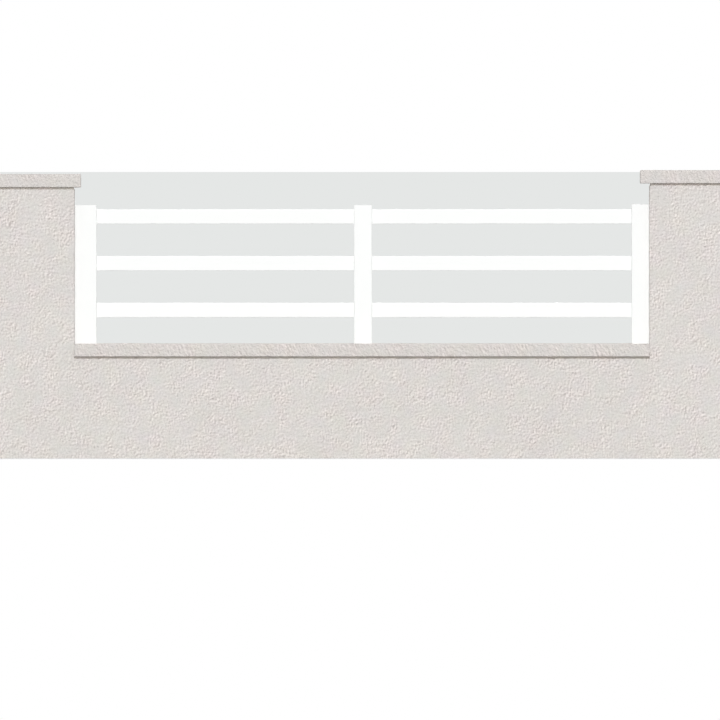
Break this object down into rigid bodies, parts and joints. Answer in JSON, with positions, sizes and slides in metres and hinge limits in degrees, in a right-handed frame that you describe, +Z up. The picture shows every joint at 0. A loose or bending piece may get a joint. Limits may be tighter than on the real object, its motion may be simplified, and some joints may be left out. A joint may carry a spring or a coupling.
{
  "type": "slatted garden fence on a rendered wall",
  "caption": "White slatted fence in two bays between routed posts, on a low rendered wall with a coping, between two higher end walls.",
  "frame": {"origin": "on the ground, under the middle of the opening between the two end walls", "axes": "+X along the fence, to the right as seen from the front, -Y towards the front, +Z up"},
  "size_m": [4.194, 0.264, 1.615],
  "materials": {
    "wall_render": "matte",
    "coping_render": "matte",
    "bed_mortar": "matte",
    "white_plastic": "satin"
  },
  "bodies": {
    "root": {"left_end_wall": "wall_render", "low_wall": "wall_render", "right_end_wall": "wall_render", "left_coping_bed": "bed_mortar", "low_coping_bed": "bed_mortar", "right_coping_bed": "bed_mortar", "left_coping": "coping_render", "low_coping": "coping_render", "right_coping": "coping_render", "left_post": "white_plastic", "middle_post": "white_plastic", "right_post": "white_plastic", "left_post_cap": "white_plastic", "middle_post_cap": "white_plastic", "right_post_cap": "white_plastic", "left_bay_bottom_slat": "white_plastic", "left_bay_middle_slat": "white_plastic", "left_bay_top_slat": "white_plastic", "right_bay_bottom_slat": "white_plastic", "right_bay_middle_slat": "white_plastic", "right_bay_top_slat": "white_plastic"}
  },
  "joints": []
}
